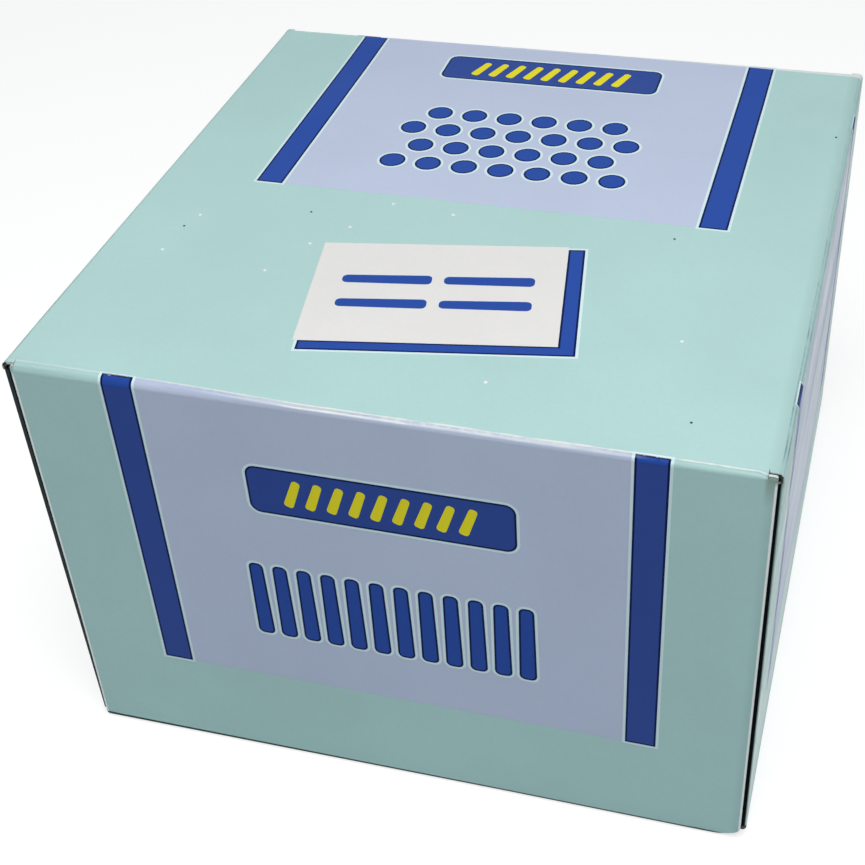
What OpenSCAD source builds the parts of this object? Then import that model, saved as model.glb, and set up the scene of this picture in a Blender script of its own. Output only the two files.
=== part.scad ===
// Tuck-end carton of chalk sticks, closed and full, standing on its widest face.
// +X is the carton's right, the front closure faces -Y, and +Z is up. The origin is the middle of
// the footprint. The folded sleeve carries its dust flaps, its glue flap and the chalk; a closure
// swings on the crease at each end of the top panel and tucks in over the bottom panel.

/* [Chalk] */
// Diameter of a stick at its thick end
stick_d = 9.7; // [8:0.05:12]
// How much thinner a stick is at its other end
stick_taper = 0.6; // [0:0.05:1.2]
// Length of a stick
stick_l = 79; // [60:0.5:100]
// Bevel round both ends of a stick
stick_bevel = 0.5; // [0.2:0.05:1.2]
// Sticks in a row
sticks_per_row = 12; // [6:1:15]
// Rows from front to back
rows = 12; // [6:1:15]
// Clearance between neighbouring sticks
stick_gap = 0.2; // [0.1:0.05:0.6]

/* [Room around the chalk] */
// From the end of a row to the wall beside it
side_room = 1.2; // [0.9:0.05:3]
// From the first and last row to the dust flaps
end_room = 1.8; // [0.4:0.1:6]
// Above the sticks that stand on a tuck flap
head_room = 0.55; // [0.3:0.05:5]

/* [Board] */
// Thickness of the folding board
board_t = 0.5; // [0.35:0.05:0.65]
// Outside radius of the sleeve's lengthwise folds
fold_r = 1.2; // [0.8:0.1:2]
// Outside radius of the bottom right fold, which is crushed soft
soft_fold_r = 2.2; // [1:0.1:2.2]
// Outside radius of the creases that the closures swing on
crease_r = 1.5; // [1:0.1:2.2]
// Outside radius of the crease between a closure and its tuck flap
tuck_crease_r = 1; // [0.8:0.1:1.8]
// Outside radius of the folds that carry the dust flaps
dust_fold_r = 0.8; // [0.7:0.05:1.2]

/* [Flaps] */
// Width of the glue flap inside the left wall
glue_flap_w = 14; // [8:0.5:25]
// Reach of a dust flap across the opening
dust_flap_l = 42; // [20:1:55]
// Corner radius at a dust flap's free end
dust_corner_r = 7; // [2:0.5:15]
// From a dust flap's edges to the top and bottom panels
dust_edge_gap = 2.6; // [1.6:0.1:6]
// Reach of a tuck flap into the carton
tuck_l = 11; // [8:0.25:16]
// Corner radius at a tuck flap's free edge
tuck_corner_r = 6; // [2:0.5:7]
// How much steeper a tuck flap rises than its swing needs, in degrees
tuck_spare_tilt = 0.5; // [0.2:0.1:2]
// Length of the cut between a closure and the top panel at each end of its crease
crease_cut = 2.2; // [1:0.1:5]
// Corner radius at a closure's shoulders
shoulder_r = 1.2; // [0.5:0.1:2]
// Corner radius at a closure's bottom left corner
sharp_corner_r = 0.8; // [0.4:0.1:3]
// Corner radius at a closure's bottom right corner, which is worn round
worn_corner_r = 3; // [0.5:0.1:6]

/* [Clearances] */
// Between a closure and what it shuts on
flap_gap = 0.3; // [0.2:0.05:0.6]
// From a closure's side edges to the carton's sides
closure_side_gap = 0.9; // [0.5:0.05:2]
// Width of a cut or split in the board
cut_gap = 0.1; // [0.06:0.01:0.25]

/* [Print] */
// Depth of the ink fields
ink_t = 0.1; // [0.05:0.01:0.2]
// Width of the dark bars
bar_w = 5.3; // [2:0.1:10]
// From the sides of the top panel to its bars
top_bar_inset = 17.6; // [8:0.1:30]
// From the sides of an upright face to its bars
face_bar_inset = 16.6; // [8:0.1:30]
// Length of the bars and the pale field on the top panel, from the rear edge
top_field_l = 62.2; // [30:0.2:90]
// Height of the bars' lower ends on the upright faces
face_field_z = 20.3; // [10:0.1:40]
// Length of the badge
badge_l = 44; // [20:0.5:60]
// Height of the badge
badge_h = 9.6; // [5:0.2:14]
// Corner radius of the badge
badge_r = 1.8; // [0.5:0.1:4]
// From the rear edge of the top panel to the middle of its badge
top_badge_inset = 11; // [8:0.2:20]
// From the top of the carton to the middle of the front badge
front_badge_drop = 18; // [10:0.2:30]
// Length of the tilted card
card_l = 41.8; // [20:0.2:60]
// Height of the tilted card
card_h = 28.7; // [10:0.1:40]
// Tilt of the card, in degrees
card_tilt = 9.6; // [0:0.1:20]
// From the front of the top panel to the middle of the card
card_inset = 33.9; // [25:0.1:40]
// Width of the card's drop shadow at its right side
shadow_side = 2.8; // [0.5:0.1:6]
// Width of the card's drop shadow along its foot
shadow_foot = 2.4; // [0.5:0.1:6]
// How far the drop shadow starts from the card's ends
shadow_start = 0.8; // [0.2:0.1:4]

/* [Hidden] */
$fn = 64;

// The tuck flaps rise just enough to swing out over the bottom panel.
tuck_tilt = asin(tuck_l / (2 * stick_l)) + tuck_spare_tilt;
tuck_z = board_t + flap_gap;
tuck_plate_l = tuck_l - tuck_crease_r;
tuck_tip_z = tuck_z + tuck_crease_r * (1 - cos(tuck_tilt)) + tuck_plate_l * sin(tuck_tilt)
    + board_t * cos(tuck_tilt);
stick_lift = tuck_tip_z + flap_gap - board_t;

// The chalk stands in a square grid, and the carton is cut to it.
pitch = stick_d + stick_gap;
row_l = sticks_per_row * pitch - stick_gap;
rows_l = rows * pitch - stick_gap;
dust_setback = board_t + flap_gap;
carton_w = row_l + 2 * (side_room + board_t);
carton_d = rows_l + 2 * (end_room + board_t + dust_setback);
carton_h = 2 * board_t + stick_lift + stick_l + head_room;
half_w = carton_w / 2;
half_d = carton_d / 2;

crease_half = half_w - closure_side_gap - crease_cut;
panel_half = half_w - closure_side_gap;
tuck_half = half_w - soft_fold_r - flap_gap;
tab_setback = crease_r / 4;
bottom_setback = flap_gap;
shoulder_z = carton_h - board_t - flap_gap;
seam_gap = flap_gap;
dust_foot_z = board_t + dust_edge_gap;
dust_head_z = carton_h - board_t - dust_edge_gap;

// The upright faces, each a quarter turn from the one before.
FACES = ["front", "right", "rear", "left"];

function row_name(i) = str("chalk_row_", i < 9 ? "0" : "", i + 1);

// Runs a flat outline along X: its own x becomes Y and its own y becomes Z.
module along_x(from, to) {
    translate([from, 0, 0]) rotate([90, 0, 90]) linear_extrude(height = to - from) children();
}

// Runs a flat outline along Y: its own x stays X and its own y becomes Z.
module along_y(from, to) {
    translate([0, to, 0]) rotate([90, 0, 0]) linear_extrude(height = to - from) children();
}

module along_z(from, to) {
    translate([0, 0, from]) linear_extrude(height = to - from) children();
}

// Flat rectangle between two corners, with a radius for each corner:
// lower left, lower right, upper right, upper left.
module rounded_box(low, high, r) {
    corners = [low, [high.x, low.y], high, [low.x, high.y]];
    inward = [[1, 1], [-1, 1], [-1, -1], [1, -1]];
    difference() {
        translate(low) square(high - low);
        for (i = [0:3]) if (r[i] > 0)
            translate(corners[i] + inward[i] * r[i] / 2) square(r[i], center = true);
    }
    for (i = [0:3]) if (r[i] > 0)
        intersection() {
            translate(corners[i] + inward[i] * r[i]) circle(r = r[i]);
            translate(corners[i] + inward[i] * r[i] / 2) square(r[i], center = true);
        }
}

// Bend in the board, seen along its crease, about the origin from one angle to another.
module bend(r, from, to) {
    reach = 2 * r;
    middle = (from + to) / 2;
    intersection() {
        difference() {
            circle(r = r);
            circle(r = r - board_t);
        }
        polygon([[0, 0], for (a = [from, middle, to]) reach * [cos(a), sin(a)]]);
    }
}

// Lengthwise folds of the sleeve, seen from the front.
module upper_folds() {
    for (side = [0, 1]) mirror([side, 0])
        translate([half_w - fold_r, carton_h - fold_r]) bend(fold_r, 0, 90);
}

module lower_folds() {
    translate([half_w - soft_fold_r, soft_fold_r]) bend(soft_fold_r, -90, 0);
    translate([board_t + fold_r - half_w, fold_r]) bend(fold_r, 180, 270);
}

// Side walls seen from the front. The left one is glued over the glue flap.
module walls() {
    translate([half_w - board_t, soft_fold_r])
        square([board_t, carton_h - fold_r - soft_fold_r]);
    translate([-half_w, seam_gap]) square([board_t, carton_h - fold_r - seam_gap]);
    translate([board_t - half_w, fold_r]) square([board_t, glue_flap_w - fold_r]);
}

// Top panel seen from above, with the small tabs that stay flat beside each crease.
module top_outline() {
    edge = half_d - crease_r;
    side_edge = half_w - fold_r;
    translate([-side_edge, -edge]) square(2 * [side_edge, edge]);
    for (side = [0, 1]) mirror([side, 0])
        rounded_box([crease_half + cut_gap, tab_setback - half_d], [side_edge, half_d - tab_setback],
            [0, 1, 1, 0] * crease_r / 2);
}

module dust_flap() {
    far = half_w - dust_flap_l;
    near = half_w - dust_fold_r;
    setback = dust_setback - half_d;
    along_z(dust_foot_z, dust_head_z)
        translate([near, setback + dust_fold_r]) bend(dust_fold_r, -90, 0);
    along_y(setback, setback + board_t)
        rounded_box([far, dust_foot_z], [near, dust_head_z], [1, 0, 0, 1] * dust_corner_r);
}

module sleeve_board() {
    wall_end = half_d - dust_setback - dust_fold_r;
    fold_end = half_d - dust_setback;
    along_z(carton_h - board_t, carton_h) top_outline();
    along_y(-fold_end, fold_end) upper_folds();
    along_y(-wall_end, wall_end) walls();
    along_y(-fold_end, fold_end) lower_folds();
    translate([board_t + fold_r - half_w, bottom_setback - half_d, 0])
        cube([carton_w - board_t - fold_r - soft_fold_r, 2 * (half_d - bottom_setback), board_t]);
    for (end = [0, 1]) mirror([0, end, 0]) {
        along_x(-crease_half, crease_half)
            translate([crease_r - half_d, carton_h - crease_r]) bend(crease_r, 90, 135 - split_angle());
        for (side = [0, 1]) mirror([side, 0, 0]) dust_flap();
    }
}

// Half the angle that the split between sleeve and closure takes out of a crease.
function split_angle() = asin(cut_gap / (2 * (crease_r - board_t)));

// Outline of a closure's flat panel, from the front. Its top and foot give way to the creases.
module closure_outline() {
    crease_z = carton_h - crease_r;
    foot_z = tuck_z + tuck_crease_r;
    difference() {
        rounded_box([-panel_half, tuck_z], [panel_half, shoulder_z],
            [sharp_corner_r, worn_corner_r, shoulder_r, shoulder_r]);
        translate([-crease_half - cut_gap, crease_z])
            square([2 * (crease_half + cut_gap), crease_r]);
        translate([-tuck_half - cut_gap, 0]) square([2 * (tuck_half + cut_gap), foot_z]);
    }
}

// Tuck flap and its crease, seen from the carton's right, about the crease's own middle.
module tuck_profile() {
    bend(tuck_crease_r, 180, 270);
    bend(tuck_crease_r, 270, 270 + tuck_tilt);
    rotate(tuck_tilt) translate([0, -tuck_crease_r]) square([tuck_plate_l, board_t]);
}

module closure_board() {
    along_y(-half_d, board_t - half_d) closure_outline();
    along_x(-crease_half, crease_half)
        translate([crease_r - half_d, carton_h - crease_r]) bend(crease_r, 135 + split_angle(), 180);
    intersection() {
        translate([0, tuck_crease_r - half_d, tuck_z + tuck_crease_r])
            along_x(-tuck_half, tuck_half) tuck_profile();
        along_z(0, tuck_tip_z + tuck_crease_r)
            rounded_box([-tuck_half, -half_d], [tuck_half, tuck_l - half_d],
                [0, 0, 1, 1] * tuck_corner_r);
    }
}

// Carries what is drawn for the front of the carton to another upright face.
module on_face(face) {
    rotate([0, 0, [for (i = [0:3]) if (FACES[i] == face) 90 * i][0]]) children();
}

// The closures shut the ends of the carton. The other two faces belong to the sleeve.
function is_end(face) = face == "front" || face == "rear";

// Half the width of an upright face and how far it lies from the middle.
function face_half(face) = is_end(face) ? half_w : half_d;
function face_y(face) = is_end(face) ? -half_d : -half_w;

// Top of the print on an upright face: it ends where the board starts to bend.
function face_top(face) = carton_h - (is_end(face) ? crease_r : fold_r);

module face_bars(face) {
    for (side = [0, 1]) mirror([side, 0, 0])
        translate([face_half(face) - face_bar_inset - bar_w, face_y(face), face_field_z])
            cube([bar_w, ink_t, face_top(face) - face_field_z]);
}

module face_field(face) {
    reach = face_half(face) - face_bar_inset - bar_w;
    translate([-reach, face_y(face), face_field_z])
        cube([2 * reach, ink_t, face_top(face) - face_field_z]);
}

module badge_outline() {
    rounded_box([-badge_l, -badge_h] / 2, [badge_l, badge_h] / 2, [1, 1, 1, 1] * badge_r);
}

module front_badge_solid() {
    along_y(-half_d, ink_t - half_d)
        translate([0, carton_h - front_badge_drop]) badge_outline();
}

module top_badge_solid() {
    along_z(carton_h - ink_t, carton_h)
        translate([0, half_d - top_badge_inset]) badge_outline();
}

module top_bars_solid() {
    for (side = [0, 1]) mirror([side, 0, 0])
        translate([half_w - top_bar_inset - bar_w, half_d - top_field_l, carton_h - ink_t])
            cube([bar_w, top_field_l - crease_r, ink_t]);
}

module top_field_solid() {
    reach = half_w - top_bar_inset - bar_w;
    translate([-reach, half_d - top_field_l, carton_h - ink_t])
        cube([2 * reach, top_field_l - crease_r, ink_t]);
}

module on_card() {
    translate([0, card_inset - half_d, carton_h - ink_t]) rotate([0, 0, card_tilt]) children();
}

module card_solid() {
    on_card() translate([-card_l, -card_h] / 2) cube([card_l, card_h, ink_t]);
}

module card_shadow_solid() {
    on_card() translate([shadow_start - card_l / 2, -shadow_foot - card_h / 2])
        cube([card_l + shadow_side - shadow_start, card_h + shadow_foot - shadow_start, ink_t]);
}

module sleeve() {
    color("powderblue")
        difference() {
            sleeve_board();
            top_field_solid();
            top_bars_solid();
            card_solid();
            card_shadow_solid();
            for (face = ["right", "left"]) on_face(face) {
                face_field(face);
                face_bars(face);
            }
        }
}

module front_closure() {
    color("powderblue")
        difference() {
            closure_board();
            face_field("front");
            face_bars("front");
        }
}

module rear_closure() {
    color("powderblue")
        difference() {
            mirror([0, 1, 0]) closure_board();
            on_face("rear") {
                face_field("rear");
                face_bars("rear");
            }
        }
}

module top_field() {
    color("lightsteelblue")
        difference() {
            top_field_solid();
            top_badge_solid();
        }
}

module top_bars() {
    color("royalblue") top_bars_solid();
}

module top_badge() {
    color("midnightblue") top_badge_solid();
}

module card() {
    color("whitesmoke") card_solid();
}

module card_shadow() {
    color("royalblue")
        difference() {
            card_shadow_solid();
            card_solid();
        }
}

module front_field() {
    color("lightsteelblue")
        difference() {
            face_field("front");
            front_badge_solid();
        }
}

module front_badge() {
    color("midnightblue") front_badge_solid();
}

module printed_field(face) {
    color("lightsteelblue") on_face(face) face_field(face);
}

module printed_bars(face) {
    color("royalblue") on_face(face) face_bars(face);
}

// One stick standing on its thick end.
module chalk_stick() {
    thick = stick_d / 2;
    thin = thick - stick_taper / 2;
    rotate_extrude()
        polygon([[0, 0], [thick - stick_bevel, 0], [thick, stick_bevel],
            [thin, stick_l - stick_bevel], [thin - stick_bevel, stick_l], [0, stick_l]]);
}

// A row stands on the bottom panel, or clear of a tuck flap where one reaches under it.
module chalk_row(i) {
    from_flap = end_room + board_t + dust_setback + min(i, rows - 1 - i) * pitch;
    lift = from_flap < tuck_l + flap_gap ? stick_lift : 0;
    color("white")
        for (j = [0:sticks_per_row - 1])
            translate([(j + 0.5) * pitch - (row_l + stick_gap) / 2,
                (i + 0.5) * pitch - (rows_l + stick_gap) / 2, board_t + lift])
                chalk_stick();
}

sleeve();
front_closure();
rear_closure();
top_field();
top_bars();
top_badge();
card();
card_shadow();
front_field();
printed_bars("front");  // front_bars
front_badge();
printed_field("rear");  // rear_field
printed_bars("rear");  // rear_bars
printed_field("right");  // right_field
printed_bars("right");  // right_bars
printed_field("left");  // left_field
printed_bars("left");  // left_bars
for (i = [0:rows - 1])
    chalk_row(i);
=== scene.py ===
"""Tuck-end carton of chalk sticks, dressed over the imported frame.

The board is one die-cut blank. A point on it has two flat coordinates in millimetres: u runs round
the sleeve from the middle of the top panel to the right, and v runs from the front to the rear.
The fold functions carry that flat point to its place on the closed carton, so the board, the ink
on it and the creases all come from outlines that are drawn flat.
"""

import cmath
import math
import random

import bpy
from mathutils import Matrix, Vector, noise
from mathutils.geometry import delaunay_2d_cdt


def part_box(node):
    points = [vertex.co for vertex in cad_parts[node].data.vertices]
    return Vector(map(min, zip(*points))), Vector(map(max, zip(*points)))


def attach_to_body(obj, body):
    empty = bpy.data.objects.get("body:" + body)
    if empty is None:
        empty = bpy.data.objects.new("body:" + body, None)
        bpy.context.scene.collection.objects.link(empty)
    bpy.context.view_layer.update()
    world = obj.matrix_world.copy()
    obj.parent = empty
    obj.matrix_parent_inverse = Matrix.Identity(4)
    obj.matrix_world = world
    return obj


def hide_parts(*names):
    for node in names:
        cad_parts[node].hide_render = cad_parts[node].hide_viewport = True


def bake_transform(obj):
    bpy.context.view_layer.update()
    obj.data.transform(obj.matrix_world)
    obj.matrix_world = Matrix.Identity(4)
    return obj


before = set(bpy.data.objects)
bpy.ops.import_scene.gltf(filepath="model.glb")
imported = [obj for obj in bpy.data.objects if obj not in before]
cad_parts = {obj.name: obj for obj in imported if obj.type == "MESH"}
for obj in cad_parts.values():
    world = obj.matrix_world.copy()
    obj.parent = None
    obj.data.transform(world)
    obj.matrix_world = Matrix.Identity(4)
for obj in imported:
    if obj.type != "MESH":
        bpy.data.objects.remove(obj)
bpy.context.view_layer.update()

MM = 0.001

# ---- sizes, in millimetres


def node_box(node):
    """Lowest and highest corner of a CAD node, in millimetres."""
    low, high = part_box(node)
    return low / MM, high / MM


sleeve_high = node_box("sleeve")[1]
closure_low, closure_high = node_box("front_closure")

half_w = sleeve_high.x
half_d = -closure_low.y
top_z = sleeve_high.z

board_t = 0.5
flap_gap = 0.3
cut_gap = 0.06
fold_r = 1.2
soft_fold_r = 2.2
crease_r = 1.5
tuck_crease_r = 0.5
foot_z = 0.12
rise_tilt = 25.0
rise_l = 0.9
rise_r = 2.0
dust_fold_r = 0.55
dust_flap_l = 42.0
dust_corner_r = 7.0
dust_edge_gap = 2.6
glue_flap_w = 14.0
crease_cut = 1.4
tuck_tilt = 4.49
tuck_corner_r = 6.0
shoulder_r = 0.5
sharp_corner_r = 0.8
worn_corner = (6.2, 2.3)
ink_t = 0.1
ink_rise = 0.02
keyline_w = 0.46
trap_w = 0.34
rim_w = 0.34
left_inset = 0.85
tab_gap = 0.15
tab_ear = 0.75
slit_slant = 0.1
slit_foot = 0.3
lip_back = 0.4
bottom_back = 1.6
fold_gap = 0.1
dust_slant = 2.5
dust_start_down = 1.7
left_foot_z = 0.6
slot_in = 0.02
bottom_corner = (1.0, 5.0)
soft_fold_back = (1.5, 0.5, 0.05)
tuck_neck = (0.3, 3.0)
foot_ease = 0.25

panel_half = closure_high.x
panel_left = panel_half - left_inset
tuck_l = closure_high.y + half_d
crease_half = panel_half - crease_cut
tuck_half = half_w - soft_fold_r - flap_gap
tab_end = half_d - board_t - tab_gap
lip_end = half_d - lip_back
bottom_end = half_d - bottom_back
fold_end = half_d - board_t - fold_gap
wall_end = fold_end - dust_fold_r
crease_start = half_d - crease_r
crease_z = top_z - crease_r
droop_reach = 14.0
droop_height = 20.0
crease_hang = {-1: (0.1, 0.42), 1: (-0.1, -0.35)}
shoulder_drops = {"front": (0.15, 0.25), "rear": (0.6, 0.6)}
foot_bulge = 0.5
bulge_end = 18.0
bulge_w = 78.0
bulge_height = 45.0
left_flare = 0.4

# ---- folding the blank


def arc(radius, turn):
    """One leg of a route: its length and how far it turns, in degrees."""
    return radius * math.radians(abs(turn)), turn


def straight(length):
    return length, 0


class Route:
    """A chain of straights and arcs in a plane, measured along the outer face of the board."""

    def __init__(self, start, heading, *legs):
        self.legs, self.ends = [], [0]
        point, angle = complex(*start), math.radians(heading)
        for length, turn in legs:
            leg = (point, angle, length, math.radians(turn) / length)
            self.legs.append(leg)
            self.ends.append(self.ends[-1] + length)
            point, angle = self.along(leg, length)

    @staticmethod
    def along(leg, distance):
        point, angle, _, bend = leg
        heading = angle + bend * distance
        if abs(bend) < 1e-9:
            return point + distance * cmath.exp(1j * angle), heading
        return point + (cmath.exp(1j * heading) - cmath.exp(1j * angle)) / (1j * bend), heading

    def at(self, distance):
        """The point at a distance, and the outward normal there, both as complex numbers."""
        for leg in self.legs:
            if distance <= leg[2] or leg is self.legs[-1]:
                break
            distance -= leg[2]
        point, heading = self.along(leg, distance)
        return point, 1j * cmath.exp(1j * heading)


top_half = half_w - fold_r
bottom_start = board_t + fold_r
right_route = Route(
    (0, top_z), 0,
    straight(top_half), arc(fold_r, -90),
    straight(top_z - fold_r - soft_fold_r), arc(soft_fold_r, -90),
    straight(2 * half_w - soft_fold_r - bottom_start), arc(fold_r, -90),
    straight(glue_flap_w - fold_r),
)
left_route = Route(
    (0, top_z), 0,
    straight(top_half), arc(fold_r, -90),
    straight(top_z - fold_r - flap_gap),
)
crease_route = Route((crease_start, top_z), 0, arc(crease_r, -90), straight(1))
rise_run = rise_l * math.cos(math.radians(rise_tilt)) + rise_r * math.sin(math.radians(rise_tilt))
closure_route = Route(
    (half_d, crease_z), -90,
    straight(crease_z - foot_z - tuck_crease_r), arc(tuck_crease_r, -90 - rise_tilt),
    straight(rise_l), arc(rise_r, rise_tilt - tuck_tilt),
    straight(tuck_l - tuck_crease_r - rise_run),
)
dust_route = Route((wall_end, half_w), 0, arc(dust_fold_r, -90), straight(1))

crease_l = crease_route.ends[1]
panel_start = crease_start + crease_l
wall_start = right_route.ends[2]
dust_bend_l = dust_route.ends[1]
dust_flap_v = wall_end + dust_bend_l
dust_tip_v = dust_flap_v + dust_flap_l - dust_fold_r


def wall_u(z):
    """The flat coordinate of a height on either wall."""
    return wall_start + top_z - fold_r - z


def panel_v(z):
    """The flat coordinate of a height on the rear closure. The front one has it negative."""
    return panel_start + crease_z - z


dust_start_u = wall_u(top_z - dust_start_down)
dust_head_u = wall_u(top_z - board_t - dust_edge_gap)
dust_foot_u = wall_u(board_t + dust_edge_gap)
left_foot_u = wall_u(left_foot_z)


def unit(value):
    return min(1.0, max(0.0, value))


def droop(u, end):
    """How far the top panel hangs at a crease. It is lowest at the front right corner."""
    left, right = crease_hang[end]
    return left + (right - left) * unit((u + half_w) / (2 * half_w))


def tube_fold(u, v):
    """Round the sleeve. The walls give a little where the top panel hangs."""
    route = right_route if u >= 0 else left_route
    side, end = (1 if u >= 0 else -1), (1 if v >= 0 else -1)
    point, out = route.at(abs(u))
    near = unit((abs(v) - crease_start) / droop_reach + 1)
    high = unit((point.imag - top_z) / droop_height + 1)
    z = point.imag - droop(u, end) * near * near * (3 - 2 * near) * high
    return Vector((side * point.real, v, z)), Vector((side * out.real, 0, out.imag))


def end_fold(route, start, u, v):
    """Over an end of the top panel and down it."""
    end = 1 if v >= 0 else -1
    point, out = route.at(abs(v) - start)
    z = point.imag - droop(u, end) * max(0, point.imag - crease_z) / crease_r
    return Vector((u, end * point.real, z)), Vector((0, end * out.real, out.imag))


def crease_fold(u, v):
    return end_fold(crease_route, crease_start, u, v)


def closure_fold(u, v):
    """Down a closure and into its tuck flap. The front one stands out a little at its left foot."""
    place, out = end_fold(closure_route, panel_start, u, v)
    if v < 0:
        place.y -= foot_bulge * unit((bulge_end - u) / bulge_w) * unit(1 - place.z / bulge_height) ** 2
    return place, out


def sleeve_fold(u, v):
    """Round the sleeve and, past the end of a wall, round the corner into its dust flap."""
    on_wall = dust_start_u - 1e-6 <= abs(u) <= (dust_foot_u if u > 0 else left_foot_u) + 1e-6
    if abs(v) <= wall_end or not on_wall:
        return tube_fold(u, v)
    side, end = (1 if u >= 0 else -1), (1 if v >= 0 else -1)
    point, out = dust_route.at(abs(v) - wall_end)
    place = tube_fold(u, v)[0]
    return (
        Vector((side * point.imag, end * point.real, place.z)),
        Vector((side * out.imag, end * out.real, 0)),
    )


# ---- relief of the board


def ridge(distance, width):
    return math.exp(-((distance / width) ** 2))


rear_crack = 0.05
crack_left = 0.25
crack_right = 0.8
crack_turn = (-32, -12)
crack_kick = 0.35


def crack_offset(u, end):
    """How far past the start of a crease its printed edge and its crack run, in millimetres."""
    if end > 0:
        return rear_crack
    start, stop = crack_turn
    moved = (crack_right - crack_left) * unit((u - start) / (stop - start))
    return crack_left + moved + crack_kick * unit((u - 57) / 1.5) ** 2


def relief(u, v):
    """How far the board stands proud of its flat faces along the creases of the top panel."""
    across = abs(v) - crease_start
    if not -2 < across < crease_l + 2 or abs(u) > half_w:
        return 0.0
    along = noise.noise(Vector((u * 0.08, across * 1.5, v * 0.01)))
    fine = noise.noise(Vector((u * 0.6, across * 4.0, 5.0)))
    past_crack = across - crack_offset(u, 1 if v >= 0 else -1)
    bead = 0.05 * ridge(past_crack + 0.05, 0.2)
    valley = -0.07 * ridge(past_crack - 0.4, 0.2) * (0.8 + along)
    second = 0.04 * ridge(past_crack - 0.85, 0.25) * (0.7 + along)
    fade = min(1, (across + 2) / 1.5, (crease_l + 2 - across) / 1.5)
    return fade * (bead + valley + second + 0.02 * fine * ridge(across - 0.8, 1.2))


# ---- outlines on the blank


def stations(*stops):
    """Values from stop to stop: each stop is a value and the largest step that follows it."""
    found = []
    for (start, step), (end, _) in zip(stops, stops[1:]):
        count = max(1, math.ceil((end - start) / step - 1e-9))
        found += [start + (end - start) * i / count for i in range(count)]
    return found + [stops[-1][0]]


def round_corner(centre, radii, start, end, steps=8):
    """Points of an elliptical arc between two angles in degrees."""
    angles = [math.radians(start + (end - start) * i / steps) for i in range(steps + 1)]
    return [(centre[0] + radii[0] * math.cos(a), centre[1] + radii[1] * math.sin(a)) for a in angles]


def rectangle(u0, u1, v0, v1):
    return [(u0, v0), (u1, v0), (u1, v1), (u0, v1)]


def rounded_rectangle(centre, width, height, radius):
    w, h = width / 2 - radius, height / 2 - radius
    corners = [((w, h), 0), ((-w, h), 90), ((-w, -h), 180), ((w, -h), 270)]
    points = [p for at, a in corners for p in round_corner(at, (radius, radius), a, a + 90, 6)]
    return turned(points, 0, centre)


def turned(points, angle, centre=(0, 0)):
    """Points turned about the origin by an angle in degrees, then moved to a centre."""
    c, s = math.cos(math.radians(angle)), math.sin(math.radians(angle))
    return [(centre[0] + x * c - y * s, centre[1] + x * s + y * c) for x, y in points]


def area_of(loop):
    return sum(a[0] * b[1] - a[1] * b[0] for a, b in zip(loop, loop[1:] + loop[:1])) / 2


def grown(loop, by, kept_v=None):
    """A loop with its edges moved outward by a small distance, but not those along kept_v."""
    out = by if area_of(loop) > 0 else -by
    points = []
    for before, here, after in zip(loop[-1:] + loop[:-1], loop, loop[1:] + loop[:1]):
        first = complex(here[0] - before[0], here[1] - before[1])
        second = complex(after[0] - here[0], after[1] - here[1])
        first, second = -1j * first / abs(first), -1j * second / abs(second)
        shift = out * (first + second) / (1 + (first.conjugate() * second).real)
        kept = kept_v is not None and abs(here[1] - kept_v) < 1e-6
        points.append((here[0] + shift.real, here[1] if kept else here[1] + shift.imag))
    return points


def sleeve_outline():
    """The blank without its closures. The rear half runs from right to left, the front half back."""
    soft_u, floor_u, far_u, _, edge_u = right_route.ends[3:]
    seam_u = left_route.ends[-1]
    r = dust_corner_r
    inner = crease_half + cut_gap
    ear_u = top_half + tab_ear
    edge = dust_start_u - slot_in
    corner_far, corner_near = bottom_corner
    foot_back, middle_back, head_back = soft_fold_back
    flap_foot = round_corner((dust_foot_u - r, dust_tip_v - r), (r, r), 0, 90)
    flap_head = round_corner((dust_head_u + r, dust_tip_v - r), (r, r), 90, 180)
    side = [
        *flap_foot, *flap_head, (dust_head_u, dust_flap_v + dust_slant), (dust_start_u, dust_flap_v),
        (dust_start_u, wall_end), (edge, wall_end), (edge, fold_end), (ear_u, lip_end), (ear_u, tab_end),
        (inner + slit_slant, tab_end), (inner, crease_start + slit_foot), (inner, crease_start),
    ]
    under = [
        (edge_u, wall_end), (far_u, wall_end), (far_u - corner_far, bottom_end),
        (floor_u + corner_near, bottom_end), (floor_u, wall_end - foot_back),
        ((floor_u + soft_u) / 2, wall_end - middle_back), (soft_u, wall_end - head_back),
    ]
    left = [(-u, v) for u, v in reversed(side)]
    left += [(-dust_foot_u, dust_flap_v + dust_slant), (-left_foot_u, dust_flap_v)]
    left += [(-left_foot_u, wall_end), (-seam_u, wall_end)]
    rear = under + [(dust_foot_u, wall_end)] + side + left
    return rear + [(u, -v) for u, v in reversed(rear)]


def closure_outline(left_drop, right_drop):
    """A closure with its tuck flap: u, and the distance down from the crease.

    The left edge flares a little towards the foot.
    """
    foot = crease_z - foot_z - tuck_crease_r + foot_ease
    tip = closure_route.ends[-1]
    cut_u, r = crease_half + cut_gap, tuck_corner_r

    def side(half, corner, drop):
        w, h = corner
        top = crease_z - top_z + drop
        return [
            (cut_u, 0), (cut_u, top),
            *round_corner((half - shoulder_r, top + shoulder_r), (shoulder_r, shoulder_r), -90, 0),
            *round_corner((half - w, foot - h), corner, 0, 90),
            (half - w, foot + tuck_neck[0]), (tuck_half, foot + tuck_neck[1]),
            *round_corner((tuck_half - r, tip - r), (r, r), 0, 90),
        ]

    left = []
    for u, d in reversed(side(panel_left, (sharp_corner_r, sharp_corner_r), left_drop)):
        flare = left_flare * unit(d / foot) if d < foot + 1 else 0
        left.append((-u - flare, d))
    return side(panel_half, worn_corner, right_drop) + left


# ---- meshes


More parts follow.
